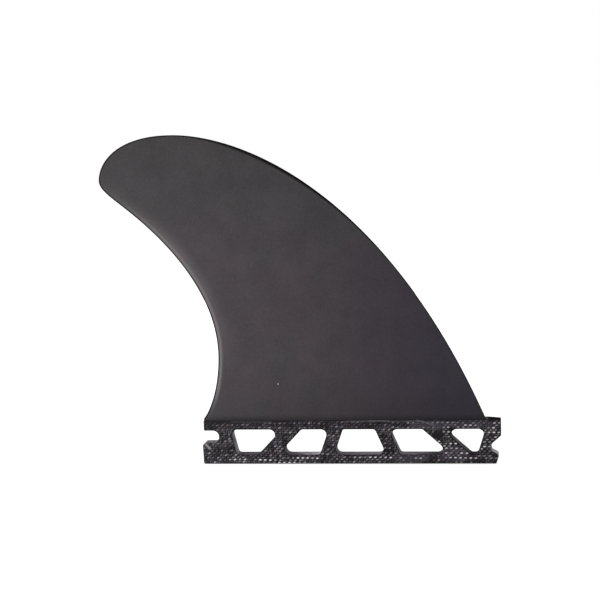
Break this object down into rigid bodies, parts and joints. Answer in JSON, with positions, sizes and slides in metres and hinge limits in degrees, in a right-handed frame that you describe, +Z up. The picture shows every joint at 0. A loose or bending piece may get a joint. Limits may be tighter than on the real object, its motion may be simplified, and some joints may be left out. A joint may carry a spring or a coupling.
{
  "type": "surfboard fin",
  "caption": "Side fin for a surfboard: a raked blade, flat inside and foiled outside, canted outwards and moulded in one piece with a windowed box tab notched at both ends.",
  "frame": {"origin": "middle of the tab's foot, the face that goes to the bottom of the fin box", "axes": "+X towards the leading edge, +Y towards the foiled outer side, +Z up the blade"},
  "size_m": [0.1545, 0.015, 0.1271],
  "materials": {
    "laminate": "satin dark charcoal blade, woven glass tab"
  },
  "bodies": {
    "root": {"fin": "laminate"}
  },
  "joints": []
}
